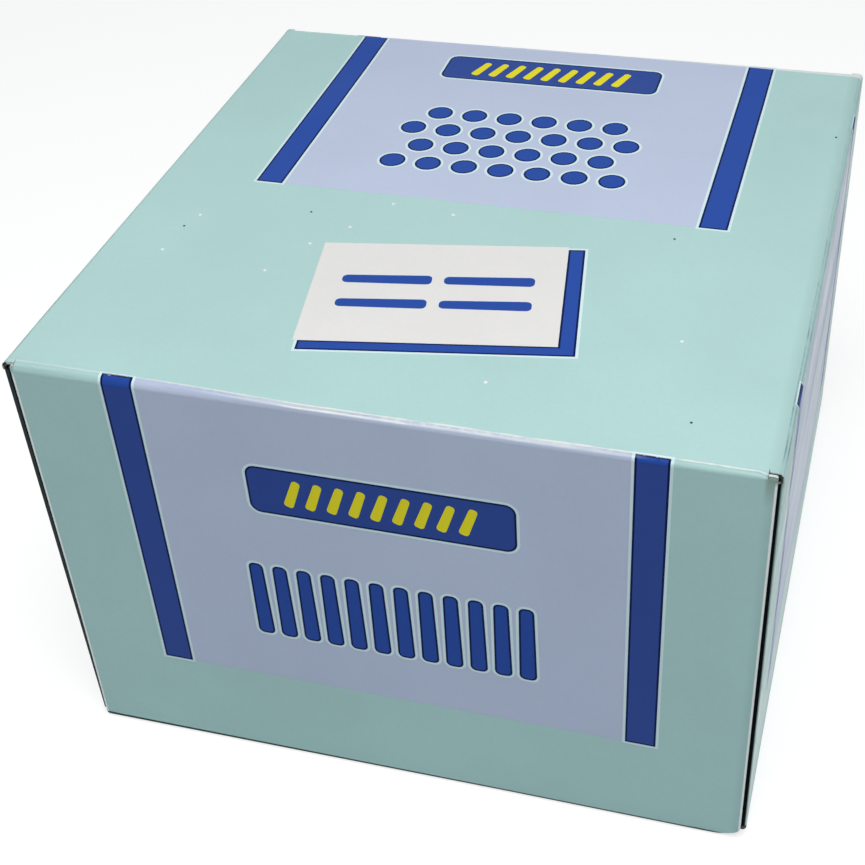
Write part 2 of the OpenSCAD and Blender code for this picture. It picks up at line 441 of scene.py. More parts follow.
def is_inside(point, loop):
    x, y = point
    found = False
    for (x0, y0), (x1, y1) in zip(loop, loop[1:] + loop[:1]):
        if (y0 > y) != (y1 > y) and x < (x1 - x0) * (y - y0) / (y1 - y0) + x0:
            found = not found
    return found


def edge_distance(point, loop):
    """Distance from a point to the nearest edge of a loop."""
    best = 1e9
    x, y = point
    for (x0, y0), (x1, y1) in zip(loop, loop[1:] + loop[:1]):
        dx, dy = x1 - x0, y1 - y0
        share = ((x - x0) * dx + (y - y0) * dy) / max(dx * dx + dy * dy, 1e-12)
        share = min(1, max(0, share))
        best = min(best, math.hypot(x0 + share * dx - x, y0 + share * dy - y))
    return best


def spacing(values):
    return min(b - a for a, b in zip(values, values[1:]))


def split_at_lattice(ring, us, vs, least=0.03):
    """The ring with a point wherever an edge crosses a line of the lattice."""
    points = []
    for a, b in zip(ring, ring[1:] + ring[:1]):
        length = math.hypot(b[0] - a[0], b[1] - a[1])
        cuts = []
        for axis, lines in enumerate((us, vs)):
            run = b[axis] - a[axis]
            if abs(run) > 1e-6:
                cuts += [(line - a[axis]) / run for line in lines]
        last = 0
        points.append(a)
        for cut in sorted(cuts):
            if (cut - last) * length > least and (1 - cut) * length > least:
                points.append((a[0] + cut * (b[0] - a[0]), a[1] + cut * (b[1] - a[1])))
                last = cut
    return points


def triangulate(loops, us, vs):
    """Triangles of the flat outlines, with a vertex at each lattice point inside them."""
    points, faces = [], []
    clear = 0.2 * min(spacing(us), spacing(vs))
    for loop in loops:
        ring = loop if area_of(loop) > 0 else loop[::-1]
        border = split_at_lattice(ring, us, vs)
        faces.append(list(range(len(points), len(points) + len(border))))
        points += border
        u_low, u_high = min(p[0] for p in ring) - 1e-6, max(p[0] for p in ring) + 1e-6
        v_low, v_high = min(p[1] for p in ring) - 1e-6, max(p[1] for p in ring) + 1e-6
        grid = [(u, v) for u in us if u_low < u < u_high for v in vs if v_low < v < v_high]
        for p in grid:
            gap = edge_distance(p, ring)
            if gap < 1e-5 or (gap > clear and is_inside(p, ring)):
                points.append(p)
    found = delaunay_2d_cdt([Vector(p) for p in points], [], faces, 1, 1e-5)
    return [tuple(p) for p in found[0]], [tuple(f) for f in found[2]]


def placed(fold, u, v, height):
    point, out = fold(u, v)
    return point + out * (height + relief(u, v))


def true_normal(fold, u, v, height):
    """Outward normal of the relief, from its slopes along and across."""
    h = 0.02
    along = placed(fold, u + h, v, height) - placed(fold, u - h, v, height)
    across = placed(fold, u, v + h, height) - placed(fold, u, v - h, height)
    return along.cross(across).normalized()


def new_mesh(name, vertices, faces, materials):
    mesh = bpy.data.meshes.new(name)
    mesh.from_pydata(vertices, [], faces)
    for material in materials:
        mesh.materials.append(material)
    return mesh


def add_object(name, data):
    made = bpy.data.objects.new(name, data)
    bpy.context.scene.collection.objects.link(made)
    return made


def sheet(name, loops, fold, us, vs, materials, outer=0.0, inner=-board_t):
    """A closed sheet of board or ink: outer face, inner face and cut edge, one material each."""
    flat, triangles = triangulate(loops, us, vs)
    count = len(flat)
    vertices = [placed(fold, u, v, height) for height in (outer, inner) for u, v in flat]
    edges = dict.fromkeys(pair for a, b, c in triangles for pair in ((a, b), (b, c), (c, a)))
    rim = [pair for pair in edges if pair[::-1] not in edges]
    faces = list(triangles)
    faces += [(c + count, b + count, a + count) for a, b, c in triangles]
    faces += [(b, a, a + count, b + count) for a, b in rim]
    mesh = new_mesh(name, [p * MM for p in vertices], faces, materials)
    outside, both = len(triangles), 2 * len(triangles)
    last = len(materials) - 1
    uv_map = mesh.uv_layers.new(name="blank")
    out = [true_normal(fold, u, v, outer) for u, v in flat]
    normals = []
    for polygon in mesh.polygons:
        kind = 0 if polygon.index < outside else 1 if polygon.index < both else 2
        polygon.material_index = min(kind, last)
        polygon.use_smooth = kind < 2
        for loop in polygon.loop_indices:
            index = mesh.loops[loop].vertex_index % count
            uv_map.data[loop].uv = Vector(flat[index]) * MM
            normals.append((out[index], -out[index], polygon.normal)[kind])
    mesh.normals_split_custom_set(normals)
    return add_object(name, mesh)


# ---- nodes


class Value:
    """What a node puts out. Sums and products of values, and comparisons, are nodes as well."""

    def __init__(self, nodes, socket):
        self.nodes = nodes
        self.socket = socket

    def __add__(self, other):
        return self.nodes.math("ADD", self, other)

    def __sub__(self, other):
        return self.nodes.math("SUBTRACT", self, other)

    def __rsub__(self, other):
        return self.nodes.math("SUBTRACT", other, self)

    def __mul__(self, other):
        return self.nodes.math("MULTIPLY", self, other)

    def __lt__(self, other):
        return self.nodes.math("LESS_THAN", self, other)

    def __gt__(self, other):
        return self.nodes.math("LESS_THAN", other, self)

    def __abs__(self):
        return self.nodes.math("ABSOLUTE", self)

    def most(self, other):
        return self.nodes.math("MAXIMUM", self, other)

    def ramp(self, low, high, to_low=0.0, to_high=1.0):
        return self.nodes.add("ShaderNodeMapRange", self, low, high, to_low, to_high)

    def band(self, low, high, soft=0.1):
        """1 between two limits and 0 outside them, with a soft border."""
        return self.ramp(low - soft, low + soft) * self.ramp(high - soft, high + soft, 1, 0)


class Nodes:
    """Short calls for the nodes of one tree."""

    def __init__(self, tree):
        self.tree = tree

    def feed(self, socket, entry):
        """Links a socket to a value, or sets it to a plain number or colour."""
        if isinstance(entry, Value):
            self.tree.links.new(entry.socket, socket)
        else:
            socket.default_value = entry

    def add(self, kind, *entries, **settings):
        """A new node with its first sockets fed, and its first output."""
        made = self.tree.nodes.new(kind)
        for key, value in settings.items():
            setattr(made, key, value)
        for socket, entry in zip(made.inputs, entries):
            self.feed(socket, entry)
        return Value(self, made.outputs[0])

    def math(self, operation, *entries):
        return self.add("ShaderNodeMath", *entries, operation=operation)

    def named(self, kind, **entries):
        """A new node with the sockets of those names fed, and its first output."""
        made = self.tree.nodes.new(kind)
        for name, entry in entries.items():
            self.feed(made.inputs[name], entry)
        return Value(self, made.outputs[0])

    def mix(self, share, first, second):
        made = self.tree.nodes.new("ShaderNodeMix")
        made.data_type = "RGBA"
        for index, entry in ((0, share), (6, first), (7, second)):
            self.feed(made.inputs[index], entry)
        return Value(self, made.outputs[2])

    def coordinates(self, kind="Object"):
        return Value(self, self.tree.nodes.new("ShaderNodeTexCoord").outputs[kind])

    def split(self, vector):
        """The three parts of a vector."""
        made = self.tree.nodes.new("ShaderNodeSeparateXYZ")
        self.feed(made.inputs[0], vector)
        return [Value(self, output) for output in made.outputs]


class Shader(Nodes):
    """A node material around one Principled shader."""

    def __init__(self, name, roughness):
        self.material = bpy.data.materials.new(name)
        self.material.use_nodes = True
        super().__init__(self.material.node_tree)
        self.sockets = self.tree.nodes["Principled BSDF"].inputs
        self.sockets["Roughness"].default_value = roughness

    def place(self, scale=(1, 1, 1)):
        """Object coordinates, stretched by a scale."""
        return self.named("ShaderNodeMapping", Vector=self.coordinates(), Scale=scale)

    def noise(self, place, scale, detail=2.0, rough=0.5):
        kind = "ShaderNodeTexNoise"
        return self.named(kind, Vector=place, Scale=scale, Detail=detail, Roughness=rough)

    def bump(self, height, distance, strength):
        bent = self.named("ShaderNodeBump", Height=height, Distance=distance, Strength=strength)
        self.feed(self.sockets["Normal"], bent)


def srgb(red, green, blue):
    """A colour given as it looks on screen, 0 to 255, as linear light."""
    shares = (red / 255, green / 255, blue / 255)
    return (*(s / 12.92 if s <= 0.04045 else ((s + 0.055) / 1.055) ** 2.4 for s in shares), 1.0)


def scaled(shade, factor):
    """A lighter or darker shade of a colour."""
    return tuple(min(1, factor * part) for part in shade[:3]) + (1.0,)


# ---- wear of the print, and painted shade, glint, sheen and highlights

paper_white = srgb(226, 233, 233)
# Whiter than bare board, a painted glint on the closures' cut edges.
glint_white = srgb(248, 252, 252)
# Near black, for painted shade in the slots, the slits, the sleeve's inside corners and its foot.
painted_shade_black = srgb(16, 22, 24)
# Pale, for the wall streaks: partly scuffs, partly a painted sheen.
scuff_and_sheen_pale = srgb(212, 228, 222)
# Brownish, for the darker patch at each closure's top right corner.
corner_patch_brown = srgb(124, 136, 118)
line_grey = srgb(92, 112, 124)
# Dark, for the painted shadow along each closure's foot.
foot_shadow_dark = srgb(34, 56, 56)


class Blank:
    """Values that tell a shader where on the blank it is, in millimetres."""

    def __init__(self, s):
        made = s.tree.nodes.new("ShaderNodeUVMap")
        made.uv_map = "blank"
        u, v, _ = s.split(Value(s, made.outputs[0]))
        self.u = u * (1 / MM)
        self.v = v * (1 / MM)
        self.aside = abs(self.u)
        self.along = abs(self.v)
        self.past_crease = self.along - crease_start
        self.past_fold = self.along - wall_end
        self.on_wall = self.aside.band(wall_start - 0.3, wall_u(0) + 1)


def crease_cracks(s, at):
    """Thin wavy lines along each crease, where the ink has cracked, and a rubbed patch at the front."""
    place = s.place((1, 0.25, 0.25))
    front = at.v < 0
    start = at.u.ramp(*crack_turn, crack_left, crack_right) + at.u.ramp(57.4, 58.6, 0, crack_kick)
    wander = s.noise(place, 70, 3).ramp(0.3, 0.7, -0.1, 0.1)
    past = at.past_crease - (start * front).most(rear_crack) - wander
    wide = s.noise(place, 230, 4, 0.7).ramp(0.3, 0.6, 0, 0.15)
    first = (wide - abs(past)).ramp(-0.07, 0.06) * at.u.ramp(-45, -14, 0.4, 1)
    second = (wide - abs(past - 0.62)).ramp(-0.07, 0.06) * at.u.band(-20, 12, 7) * front
    between = past.ramp(0, 0.1) * past.ramp(0.6, 0.9, 1, 0)
    patchy = s.noise(s.place((1, 0.5, 0.5)), 300, 3).ramp(0.3, 0.7, 0.25, 0.75)
    rubbed = at.u.band(-18, 37, 5) * front * between * patchy
    line = first.most(second).most(rubbed) * (at.past_crease < crease_l)
    return line * at.aside.ramp(crease_half, crease_half + 0.3, 1, 0)


def rear_bare_strip(s, at):
    """The strip past the top print at the rear, bare and wider to the right."""
    across = at.v - crease_start
    past = across - at.u.ramp(-10, half_w, 1.1, -1.0)
    return past.ramp(0, 0.15) * across.ramp(2.4, 2.6, 1, 0)


def wear_and_crest_highlight(s, at):
    """How far the ink has gone from the walls' folds and along the creases. The pale at the walls' end
    folds is partly rubbed board, partly a painted highlight on the lit edge.
    """
    rub = s.noise(s.place(), 160, 4, 0.7).ramp(0.35, 0.65, 0.25, 0.85)
    crest_and_highlight = at.past_fold.band(-0.35, 0.2, 0.12) * at.on_wall
    return (crest_and_highlight * rub).most(crease_cracks(s, at).most(rear_bare_strip(s, at) * 0.8))


def closure_rims_and_glint(s, at):
    """The white cut edges of the closures, rubbed bare on both sides, and whiter than bare board as a
    painted glint.
    """
    right = at.u.band(panel_half - rim_w, panel_half + 0.2, 0.06)
    flare = at.along.ramp(panel_start, panel_v(0), 0, left_flare)
    left = (at.aside - flare).band(panel_left - rim_w, panel_left + 0.2, 0.06) * (at.u < 0)
    rub = s.noise(s.place(), 160, 4, 0.7).ramp(0.35, 0.65, 0.85, 1)
    return right.most(left) * at.along.ramp(panel_start, panel_start + 1) * rub


def crevice_painted_shade(s, at):
    """Painted shade, near black, deep in the slots between the closures and the folds of the walls."""
    left = at.u < 0
    later = (1 - left) * at.aside.ramp(wall_u(82), wall_u(42), 0.32, 0.12)
    past = at.past_fold - later
    near = past.ramp(0.2, 0.4) * (left * 0.25 + 0.75)
    deep = past.ramp(0.38, 0.5)
    ending = (at.past_fold - left).ramp(1.2, 2.0, 1, 0)
    thinner = left * at.past_fold.band(0.55, 1.3, 0.12) * 0.06
    return near.most(deep) * ending * (1 - thinner) * at.on_wall


def crease_painted_shade(s, at):
    """Painted shade along the bend of each crease, in fine streaks like wrinkles."""
    wrinkles = s.noise(s.place((0.1, 1, 1)), 1100, 2).ramp(0.35, 0.65, 0.1, 0.45)
    return at.past_crease.band(0.45, crease_l - 0.5, 0.2) * wrinkles * (at.aside < crease_half)


def foot_painted_shadow(s, at):
    """A painted shadow: a dark line along the foot of each closure, where it meets the table."""
    low = (at.along - at.u.ramp(-60, 20, panel_v(1), panel_v(0.78))).ramp(-0.07, 0.07)
    return low * at.along.ramp(panel_v(-0.8), panel_v(-1), 1, 0) * (at.aside < half_w)


def wall_streaks_and_sheen(s, at):
    """Pale streaks along the walls: partly scuffs, partly a painted sheen that lightens the walls."""
    long = s.noise(s.place((1, 0.05, 1)), 150, 5, 0.75).ramp(0.42, 0.58, 0, 0.9)
    tall = s.noise(s.place((1, 1, 0.05)), 150, 3, 0.6).ramp(0.3, 0.7, 0, 0.35)
    return (long + tall) * at.on_wall * 0.8


def fold_shade(s, at):
    """Painted shade on the top panel's right edge, darker towards the fold."""
    return at.u.ramp(58.2, 60, 0, 0.6) * at.u.ramp(60.6, 61.2, 1, 0)


def shoulder_patch(s, at):
    """A darker brownish patch at the top right corner of each closure, beside the slot, fading downward.
    """
    down = at.along.ramp(panel_start - 0.3, panel_start + 5, 0.55, 0)
    return at.u.band(58.5, panel_half + 1, 0.25) * down * (at.along > panel_start - 1.4)


def fold_lines(s, at):
    """Thin broken dark lines along the upper folds of the walls, fainter towards the rear."""
    place = s.place((0, 1, 0))
    off = at.aside - top_half - s.noise(place, 60, 3).ramp(0.3, 0.7, -0.12, 0.12)
    upper, lower = (abs(off - down).ramp(0.06, 0.18, 1, 0) for down in (0.5, 1.1))
    broken = s.noise(place, 120, 4, 0.7).ramp(0.42, 0.6, 0.1, 0.7)
    return upper.most(lower) * broken * at.v.ramp(-45, 20, 1, 0.3)


def edge_painted_shade(s, at):
    """Painted shade on the sleeve's cut edges: at its foot, where it meets the table, and in the slits at
    the front corners.
    """
    x, _, z = (part * (1 / MM) for part in s.split(s.place()))
    foot = z.ramp(3, 3.4, 0.95, 0)
    in_slit = at.along.ramp(tab_end - 0.3, tab_end - 0.2) * abs(x).ramp(60.7, 60.85, 1, 0)
    right = at.u.band(crease_half, dust_start_u) * z.ramp(81.78, 81.9, 1, 0)
    left = at.u < -(top_half + 0.5)
    return foot.most(in_slit * right.most(left))


def corner_painted_shade(s, at):
    """Painted shade inside the sleeve, where the walls turn into the dust flaps."""
    return at.past_fold.band(-0.3, 1.0) * at.on_wall


# ---- materials

ink_gleam = 0.05


def ink_material(name, shade, gloss=0.5, worn=True):
    """Print on coated board: a fine grain, slow drifts of tone and the wear of folds and edges, with
    painted shade, glint, sheen and highlights laid over them.
    """
    s = Shader(name, gloss)
    place = s.place()
    drift = s.noise(place, 14, 3).ramp(0.3, 0.7, -0.06, 0.06)
    patch = s.noise(place, 55, 4, 0.6).ramp(0.3, 0.7, -0.04, 0.04)
    grain = s.noise(place, 1400, 2, 0.7).ramp(0.3, 0.7, -0.03, 0.03)
    dark = scaled(shade, 0.8)
    colour = s.mix(drift + grain + patch + 0.5, dark, scaled(shade, 1.2))
    rough = s.noise(place, 60, 3).ramp(0.3, 0.7, gloss - 0.04, gloss + 0.06)
    height = s.noise(s.place((1, 1.6, 1)), 900, 3, 0.6)
    s.feed(s.sockets["Specular IOR Level"], ink_gleam)
    if worn:
        at = Blank(s)
        streaks = wall_streaks_and_sheen(s, at)
        painted_slot_shade = crevice_painted_shade(s, at)
        # Painted light among these layers: shade at the fold, along the crease bends, in the slots and at
        # the foot; glint on the rims; sheen in the wall streaks; a highlight on the wall fold crests.
        for share, over in (
            (streaks * 0.3, scuff_and_sheen_pale),
            (fold_shade(s, at), dark),
            (shoulder_patch(s, at), corner_patch_brown),
            (fold_lines(s, at), line_grey),
            (crease_painted_shade(s, at), dark),
            (wear_and_crest_highlight(s, at), paper_white),
            (closure_rims_and_glint(s, at), glint_white),
            (painted_slot_shade, painted_shade_black),
            (foot_painted_shadow(s, at), foot_shadow_dark),
        ):
            colour = s.mix(share, colour, over)
        rough = rough - streaks * 0.2
        height = height + streaks * 6
        gleam = (at.on_wall * streaks.ramp(0, 0.8, 0.35, 0.7) + ink_gleam) * (1 - painted_slot_shade)
        s.feed(s.sockets["Specular IOR Level"], gleam)
    s.feed(s.sockets["Base Color"], colour)
    s.feed(s.sockets["Roughness"], rough)
    s.bump(height, 0.00003, 0.35)
    return s.material


def raw_material(name, shade, gloss=0.85, painted_shade_mask=None):
    """Uncoated board or a cut edge: matt, with visible fibres, and with painted shade where its mask
    says.
    """
    s = Shader(name, gloss)
    fibre = s.noise(s.place(), 700, 4, 0.7)
    colour = s.mix(fibre.ramp(0.35, 0.65), scaled(shade, 0.86), shade)
    if painted_shade_mask:
        colour = s.mix(painted_shade_mask(s, Blank(s)), colour, painted_shade_black)
    s.feed(s.sockets["Base Color"], colour)
    s.bump(fibre, 0.00006, 0.5)
    return s.material


def chalk_material():
    """Pressed chalk: white and matt, with pores and a dusting."""
    s = Shader("chalk", 0.95)
    place = s.place()
    dust = s.noise(place, 160, 4, 0.6)
    pores = s.noise(place, 1500, 3, 0.7)
    colour = s.mix(dust.ramp(0.35, 0.65), srgb(222, 222, 217), srgb(246, 246, 242))
    s.feed(s.sockets["Base Color"], colour)
    s.bump(dust * 0.5 + pores, 0.00012, 0.6)
    return s.material


teal = ink_material("teal_ink", srgb(178, 214, 212))
lavender = ink_material("lavender_ink", srgb(191, 203, 227))
navy = ink_material("navy_ink", srgb(42, 78, 164))
# A second navy for the closures' bars, toned for the light on those faces: painted light in the ink.
navy_toned_for_end_light = ink_material("navy_toned_for_end_light_ink", srgb(52, 78, 154))
deep_navy = ink_material("trap_ink", srgb(6, 24, 76))
badge_navy = ink_material("badge_ink", srgb(48, 76, 152), worn=False)
yellow = ink_material("yellow_ink", srgb(238, 226, 44), 0.5, worn=False)
card_white = ink_material("card_ink", srgb(229, 229, 228), worn=False)
keyline_pale = ink_material("keyline_ink", srgb(214, 240, 255), worn=False)
dust_white = ink_material("dust", srgb(244, 250, 250), 0.9, worn=False)
dirt_dark = ink_material("dirt", srgb(74, 94, 94), 0.9, worn=False)
bare_board = raw_material("bare_board", srgb(206, 203, 194))
cut_board = raw_material("cut_board", srgb(214, 222, 218), 0.75)
# The sleeve's cut edges and inside corners carry painted shade.
sleeve_cut = raw_material("sleeve_cut", srgb(214, 222, 218), 0.75, edge_painted_shade)
sleeve_inside = raw_material("sleeve_inside", srgb(206, 203, 194), 0.85, corner_painted_shade)
chalk_white = chalk_material()
board_materials = [teal, bare_board, cut_board]

# ---- the board


def attach(piece, body, node=None):
    """Puts a piece on the body it rides on, and hides the CAD node it stands for."""
    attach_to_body(piece, body)
    if node:
        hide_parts(node)


def thinned(values, least=0.01):
    """The values in order, without those that all but repeat the one before."""
    kept = []
    for value in sorted(values):
        if not kept or value - kept[-1] > least:
            kept.append(value)
    return kept


def sleeve_lattice():
    """Flat coordinates round the sleeve and from front to rear, closer where the board turns."""
    rear = thinned(stations(
        (0, 4), (crease_start - 2, 0.5), (crease_start - 0.6, 0.1), (wall_end, dust_bend_l / 8),
        (dust_flap_v, 4), (dust_tip_v, 4),
    ))
    around = []
    for route in (right_route, left_route):
        found = [dust_start_u, dust_head_u, dust_foot_u, left_foot_u]
        for leg, start, end in zip(route.legs, route.ends, route.ends[1:]):
            found += stations((start, 0.2 if leg[3] else 4), (end, 4))
        around.append(thinned(found))
    right, left = around
    return [-u for u in reversed(left[1:])] + right, [-v for v in reversed(rear[1:])] + rear


def make_sleeve():
    us, vs = sleeve_lattice()
    materials = [teal, sleeve_inside, sleeve_cut]
    piece = sheet("sleeve_board", [sleeve_outline()], sleeve_fold, us, vs, materials)
    attach(piece, "carton", "sleeve")


def end_sign(end):
    return -1 if end == "front" else 1


def make_closure(end):
    """A closure's panel and its tuck flap."""
    side = end_sign(end)
    outline = [(u, side * (panel_start + d)) for u, d in closure_outline(*shoulder_drops[end])]
    us = stations((-panel_half, 3), (panel_half, 3))
    panel_end, bend_end, _, flap_start, flap_end = closure_route.ends[1:]
    down = stations(
        (-1, 0.25), (2, 3), (panel_end - 3, 0.3), (panel_end, closure_route.legs[1][2] / 8),
        (bend_end, 0.3), (flap_start, 2), (flap_end, 2),
    )
    vs = sorted(side * (panel_start + d) for d in down)
    piece = sheet(end + "_closure_board", [outline], closure_fold, us, vs, board_materials)
    attach(piece, end + "_closure", end + "_closure")


def crease_part(end, name, spans, materials, slot, outer=0.0, inner=-board_t, ahead=0.0):
    """What lies on the crease between the top panel and a closure, over some spans of u.

    The board reaches over the whole crease. Ink starts at the crack, or a little ahead of it.
    """
    side = end_sign(end)
    low, high = sorted((side * crease_start, side * panel_start))
    loops = []
    for a, b in spans:
        head = [(a, side * crease_start), (b, side * crease_start)]
        if slot != "board":
            head = [(u, side * (crease_start + max(0, crack_offset(u, side) - ahead)))
                    for u in stations((a, 2), (b, 1))]
        loops.append(head + [(b, side * panel_start), (a, side * panel_start)])
    us = stations((-crease_half, 1), (crease_half, 1))
    vs = stations((low, crease_l / 20), (high, 1))
    piece = sheet(name, loops, crease_fold, us, vs, materials, outer, inner)
    first = Vector((0, side * crease_start, top_z - droop(0, side)))
    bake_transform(piece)


# ---- the print

front_foot_z = node_box("front_bars")[0].z - 0.2
top_foot_v = node_box("top_bars")[0].y - 1.1
bars_u = {
    "top": ((-42.4, -37.4), (38.78, 43.72)),
    "front": ((-43.86, -38.62), (39.77, 44.9)),
    "rear": ((-44.42, -39.15), (39.15, 44.42)),
}
bars_lean = {"top": -0.001, "front": 0.0035, "rear": 0.0}
bar_heads = {"right": (0.9, 1.2), "left": (1.5, 1.5)}
wall_line_w = 0.25
field_drop = 0.4
top_shift = (0.5, -0.7)
front_shift = (0.35, -0.3)
badge_corner_r = 1.8
card_tilt = 9.6
card_size = (41.8, 28.7)
shadow_side = 2.8
shadow_foot = 2.4
shadow_start = 0.8


def top_centre(node):
    """Middle of a print on the top panel, a little off the CAD's as the sheet was cut."""
    low, high = node_box(node)
    return (low.x + high.x) / 2 + top_shift[0], (low.y + high.y) / 2 + top_shift[1]


def front_centre(z):
    """Middle of a print at a height on the front closure."""
    return front_shift[0], -panel_v(z + front_shift[1])


def badge_centre(face):
    low, high = node_box(face + "_badge")
    return top_centre("top_badge") if face == "top" else front_centre((low.z + high.z) / 2)


def top_ground():
    """What the print on the top panel lies on: its fold, its lattice and its body."""
    us = stations((-half_w, 3), (half_w, 3))
    vs = stations((-crease_start, 0.2), (2 - crease_start, 3), (crease_start - 2, 0.2), (crease_start, 1))
    return tube_fold, us, vs, "carton"


def face_ground(end):
    """What the print on a closure lies on."""
    us = stations((-half_w, 3), (half_w, 3))
    down = stations((panel_start, 0.25), (panel_start + 2, 3), (panel_start + top_z, 3))
    return closure_fold, us, sorted(end_sign(end) * v for v in down), end + "_closure"


def wall_ground(sign):
    """What the print on a wall lies on."""
    us = sorted(sign * u for u in stations((top_half, 0.2), (wall_start, 3), (wall_u(0), 3)))
    return tube_fold, us, stations((-wall_end, 4), (wall_end, 4)), "carton"


def ink(name, node, loops, ground, material, layer=1):
    """A film of ink let into the board. A higher layer lies over a lower one."""
    fold, us, vs, body = ground
    rise = layer * ink_rise
    piece = sheet(name, loops, fold, us, vs, [material], rise, rise - ink_t)
    attach(piece, body, node)


def dark_ink(name, node, loops, ground, material, layer=2, head=None, line_w=keyline_w):
    """Dark print, its darker trapped edge and the pale line round it. None of them passes a head."""
    inner, outer = ([grown(loop, by, head) for loop in loops] for by in (-trap_w, line_w))
    ink(name, node, inner, ground, material, layer + 0.5)
    ink(name + "_edge", None, loops, ground, deep_navy, layer)
    ink(name + "_keyline", None, outer, ground, keyline_pale, layer - 0.5)


def bars_and_field(face, ground, foot, head, material):
    """The two bars of a face, leaning a little as they were printed, and the pale field between them."""
    lean = bars_lean[face] * abs(head - foot)
    bars = [[(a, foot), (b, foot), (b + lean, head), (a + lean, head)] for a, b in bars_u[face]]
    left, right = bars
    field = [left[1], right[0], right[3], left[2]]
    ink("pale_field_" + face, face + "_field", [field], ground, lavender)
    dark_ink("dark_bars_" + face, face + "_bars", bars, ground, material, head=head)


def make_badge(face, ground):
    low, high = node_box(face + "_badge")
    width, height = high.x - low.x, max(high.y - low.y, high.z - low.z)
    badge = rounded_rectangle(badge_centre(face), width, height, badge_corner_r)
    dark_ink("badge_" + face, face + "_badge", [badge], ground, badge_navy)


def make_card():
    """The tilted card and its drop shadow along two sides."""
    centre = top_centre("card")
    w, h = card_size[0] / 2, card_size[1] / 2
    card = turned(rectangle(-w, w, -h, h), card_tilt, centre)
    corner = [
        (shadow_start - w, -h), (shadow_start - w, -h - shadow_foot),
        (w + shadow_side, -h - shadow_foot), (w + shadow_side, h - shadow_start),
        (w, h - shadow_start), (w, -h),
    ]
    shadow = turned(corner, card_tilt, centre)
    ink("card_face", "card", [card], top_ground(), card_white, 3)
    dark_ink("card_drop_shadow", "card_shadow", [shadow], top_ground(), navy)


def make_wall_print(side):
    """Print on a wall of the sleeve. The bars start on its upper fold."""
    sign = 1 if side == "right" else -1
    foot = wall_u(front_foot_z)
    out, inside = node_box(side + "_bars")[1].y, node_box(side + "_field")[1].y
    bars = []
    for (low, high), head in zip(((-out, -inside), (inside, out)), bar_heads[side]):
        near, far = sorted((sign * foot, sign * (top_half + head)))
        bars.append(rectangle(near, far, low, high))
    field = rectangle(*sorted((sign * foot, sign * (wall_start + field_drop))), -inside, inside)
    ground = wall_ground(sign)
    ink("pale_field_" + side, side + "_field", [field], ground, lavender)
    dark_ink("dark_bars_" + side, side + "_bars", bars, ground, navy, line_w=wall_line_w)


def make_crease(end):
    """The bend itself and the print that runs over it."""
    crease_part(end, end + "_crease_board", [(-crease_half, crease_half)], board_materials, "board")
    lean = bars_lean[end] * (panel_v(front_foot_z) - panel_start)
    bars = [(a + lean, b + lean) for a, b in bars_u[end]]
    field = [(bars[0][1], bars[1][0])]
    lines = [(a - keyline_w, b + keyline_w) for a, b in bars]
    inner = [(a + trap_w, b - trap_w) for a, b in bars]
    layers = (
        ("field", field, lavender, "ink_pale", 1, 0),
        ("keylines", lines, keyline_pale, "ink_card", 1.5, 0.25),
        ("bar_edges", bars, deep_navy, "ink_dark", 2, 0),
        ("bars", inner, navy, "ink_dark", 3.5, -0.3),
    )
    for part, spans, material, slot, layer, ahead in layers:
        rise = layer * ink_rise
        crease_part(end, f"{end}_crease_{part}", spans, [material], slot, rise, rise - ink_t, ahead)


# ---- the motifs in place of words

disc_r = 2.45
disc_pitch = (6.9, 6.5)
disc_start = 11.4
disc_rows = 4
badge_stick = (1.7, 5.8)
badge_stick_pitch = 3.6
badge_stick_tilt = -20
card_stick = (2.6, 15)
card_stick_places = ((-8.5, 3.4), (8.5, 3.4), (-8.5, -3.6), (8.5, -3.6))
row_stick = (3.0, 16.5)
row_pitch = 4.2
row_middle_z = 39.5
white_speck_r = 0.3
dark_speck_r = 0.2


def stick_shape(centre, size, tilt):
    """A stick of chalk seen from the side: a slight taper and rounded ends."""
    width, length = size
    w, thin, l = width / 2, 0.43 * width, length / 2
    r = 0.34 * width
    middles = ((w - r, r - l), (thin - r, l - r), (r - thin, l - r), (r - w, r - l))
    points = []
    for middle, start in zip(middles, (-90, 0, 90, 180)):
        points += round_corner(middle, (r, r), start, start + 90, 4)
    return turned(points, tilt, centre)


def disc(centre, radius, sides=20):
    return round_corner(centre, (radius, radius), 0, 360 * (1 - 1 / sides), sides - 1)


def badge_sticks(face, ground):
    """The slanted sticks on a badge."""
    x, y = badge_centre(face)
    small = [
        stick_shape((x + i * badge_stick_pitch, y), badge_stick, badge_stick_tilt)
        for i in range(-4, 5)
    ]
    ink("badge_sticks_" + face, None, small, ground, yellow, 3)


def make_motifs():
    """Plain sticks of chalk, from the end and from the side, drawn where a maker would print words."""
    top, front = top_ground(), face_ground("front")
    across, back = disc_pitch
    ends = []
    for row in range(disc_rows):
        count = 7 - row % 2
        for i in range(count):
            x = top_shift[0] + (i - (count - 1) / 2) * across
            ends.append(disc((x, disc_start + back * row), disc_r))
    dark_ink("rows_of_stick_ends", None, ends, top, navy)
    badge_sticks("top", top)
    on_card = [
        stick_shape(place, card_stick, card_tilt + 90)
        for place in turned(card_stick_places, card_tilt, top_centre("card"))
    ]
    ink("card_sticks", None, on_card, top, navy, 4)
    badge_sticks("front", front)
    x, y = front_centre(row_middle_z)
    row = [stick_shape((x + (i - 5.5) * row_pitch, y), row_stick, 0) for i in range(12)]
    dark_ink("row_of_sticks", None, row, front, navy)


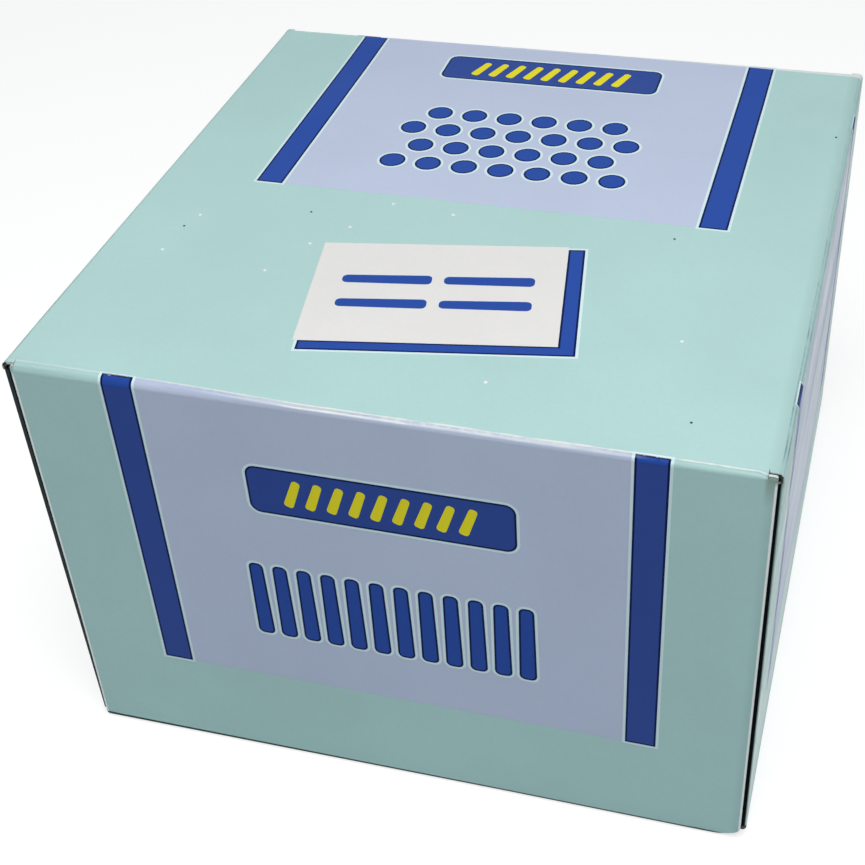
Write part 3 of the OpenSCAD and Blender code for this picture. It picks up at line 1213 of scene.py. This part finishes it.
def make_specks():
    """Chalk dust and small dirt on the top, measured from its left and front edges."""
    white = (
        (46, 58.5), (57.5, 57), (41, 49.5), (13.3, 48), (11.5, 36), (31.5, 33.5), (102.8, 28),
        (76, 11.5), (36, 43),
    )
    dark = ((12, 44), (32.5, 53), (119.3, 97.8), (96.5, 57), (107.5, 8.8))
    for name, places, radius, slot, material in (
        ("chalk_specks", white, white_speck_r, "ink_card", dust_white),
        ("dirt_specks", dark, dark_speck_r, "ink_dark", dirt_dark),
    ):
        spots = [disc((x - half_w, y - half_d), radius, 8) for x, y in places]
        ink(name, None, spots, top_ground(), material, 5)


# ---- the chalk

stick_taper = 0.6
stick_bevel = 0.5
stick_sides = 24
sticks_per_row = 12
row_count = 12


def add_stick(vertices, faces, centre, foot_z, head_z, radius, dice):
    """One moulded stick: a slight taper, worn ends and a skin that isn't quite even."""
    length = head_z - foot_z
    thin = radius - stick_taper / 2
    wear = stick_bevel * dice.uniform(0.7, 1.0)
    rings = [
        (0, radius - stick_bevel), (0.12, radius - 0.5 * stick_bevel), (0.5, radius - 0.04),
        (2.5, radius - 0.02), (length * 0.5, (radius + thin) / 2 - 0.02), (length - 2.5, thin - 0.02),
        (length - 0.6, thin - 0.05), (length - 0.15, thin - 0.6 * wear), (length, thin - 1.2 * wear),
    ]
    seed = dice.uniform(0, 100)
    first = len(vertices)
    for height, r in rings:
        for i in range(stick_sides):
            a = 2 * math.pi * i / stick_sides
            at = Vector((math.cos(a), math.sin(a), 0))
            uneven = noise.noise(at * 1.4 + Vector((seed, height * 0.3, 0)))
            end = ridge(min(height, length - height), 0.7)
            cut = (0.02 + 0.16 * end) * max(0, uneven)
            vertices.append(centre + at * (r - cut) + Vector((0, 0, foot_z + height)))
    for ring in range(len(rings) - 1):
        for i in range(stick_sides):
            a, b = first + ring * stick_sides + i, first + ring * stick_sides + (i + 1) % stick_sides
            faces.append((a, b, b + stick_sides, a + stick_sides))
    top = first + (len(rings) - 1) * stick_sides
    faces.append(tuple(first + i for i in reversed(range(stick_sides))))
    faces.append(tuple(top + i for i in range(stick_sides)))


def make_chalk_row(number):
    """The sticks of one CAD row, where that row stands."""
    node = f"chalk_row_{number:02d}"
    low, high = node_box(node)
    radius = (high.y - low.y) / 2
    pitch = (high.x - low.x - 2 * radius) / (sticks_per_row - 1)
    dice = random.Random(number)
    vertices, faces = [], []
    for i in range(sticks_per_row):
        centre = Vector((low.x + radius + i * pitch, (low.y + high.y) / 2, 0))
        add_stick(vertices, faces, centre, low.z, high.z, radius, dice)
    mesh = new_mesh(node, [p * MM for p in vertices], faces, [chalk_white])
    mesh.shade_smooth()
    mesh.set_sharp_from_angle(angle=math.radians(50))
    attach(add_object(f"chalk_sticks_{number:02d}", mesh), "carton", node)


# ---- the stage

world_right = (0.362, 0.390, 0.408, 1)
world_left = (0.140, 0.148, 0.155, 1)
floor_grey = (0.575, 0.61, 0.63, 1)
floor_shadow = (0.45, 0.45, 0.45, 1)
floor_glow = 0.70
plain_white = (1, 1, 1, 1)
floor_reach = 3.0
floor_z = -0.1 * MM


def seen_directly(nodes):
    """1 for rays from the camera, a mirror or glass, and 0 for the rays that light the object."""
    path = nodes.tree.nodes.new("ShaderNodeLightPath")
    camera, mirror, glass = (
        Value(nodes, path.outputs[f"Is {ray} Ray"]) for ray in ("Camera", "Glossy", "Transmission")
    )
    return camera.most(mirror).most(glass)


def make_floor():
    """A floor that shows nearly white and keeps a soft shadow, but gives back less light."""
    material = bpy.data.materials.new("floor")
    material.use_nodes = True
    corners = rectangle(-floor_reach, floor_reach, -floor_reach, floor_reach)
    mesh = new_mesh("floor", [(x, y, 0) for x, y in corners], [(0, 1, 2, 3)], [material])
    floor = add_object("floor", mesh)
    floor.location.z = floor_z
    nodes = Nodes(material.node_tree)
    nodes.tree.nodes.remove(nodes.tree.nodes["Principled BSDF"])
    lit = nodes.add("ShaderNodeBsdfDiffuse", floor_grey)
    shadowed = nodes.add("ShaderNodeBsdfDiffuse", floor_shadow)
    glow = nodes.add("ShaderNodeEmission", plain_white, floor_glow)
    white = nodes.add("ShaderNodeAddShader", shadowed, glow)
    shown = nodes.add("ShaderNodeMixShader", seen_directly(nodes), lit, white)
    nodes.feed(nodes.tree.nodes["Material Output"].inputs["Surface"], shown)


def make_world():
    """White where it is seen. Where it lights the object it is grey, and darker to the left."""
    world = bpy.data.worlds.new("studio")
    bpy.context.scene.world = world
    world.use_nodes = True
    nodes = Nodes(world.node_tree)
    across = nodes.split(nodes.coordinates("Generated"))[0].ramp(-0.8, 0.4)
    background = nodes.tree.nodes["Background"]
    nodes.feed(background.inputs["Color"], nodes.mix(across, world_left, world_right))
    lit = Value(nodes, background.outputs[0])
    white = nodes.add("ShaderNodeBackground", plain_white)
    shown = nodes.add("ShaderNodeMixShader", seen_directly(nodes), lit, white)
    nodes.feed(nodes.tree.nodes["World Output"].inputs["Surface"], shown)


def make_lamp(name, place, target, size, energy, colour):
    lamp = bpy.data.lights.new(name, "AREA")
    lamp.size = size
    lamp.energy = energy
    lamp.color = colour
    thing = add_object(name, lamp)
    thing.location = place
    aim = Vector(target) - Vector(place)
    thing.rotation_euler = aim.to_track_quat("-Z", "Y").to_euler()


def make_camera():
    data = bpy.data.cameras.new("camera")
    data.lens = 63.729
    data.sensor_width = 36
    data.shift_x = -0.0422
    data.shift_y = 0.0239
    data.clip_start = 0.01
    camera = add_object("camera", data)
    camera.location = Vector((69.287, -226.626, 220.870)) * MM
    camera.rotation_euler = [math.radians(a) for a in (50.3716, 2.6334, 15.9612)]
    bpy.context.scene.camera = camera


# ---- everything in its order

make_camera()
make_sleeve()
for end in ("front", "rear"):
    make_closure(end)
    make_crease(end)
    foot, head = end_sign(end) * panel_v(front_foot_z), end_sign(end) * panel_start
    bars_and_field(end, face_ground(end), foot, head, navy_toned_for_end_light)
for side in ("right", "left"):
    make_wall_print(side)
bars_and_field("top", top_ground(), top_foot_v, crease_start, navy)
make_badge("top", top_ground())
make_card()
make_badge("front", face_ground("front"))
make_motifs()
make_specks()
for number in range(1, row_count + 1):
    make_chalk_row(number)
make_floor()
make_world()
make_lamp("key", (0.05, -0.17, 0.50), (0, -0.05, 0.08), 0.3, 1.74, (1, 0.965, 0.94))
bpy.context.scene.view_settings.view_transform = "Standard"
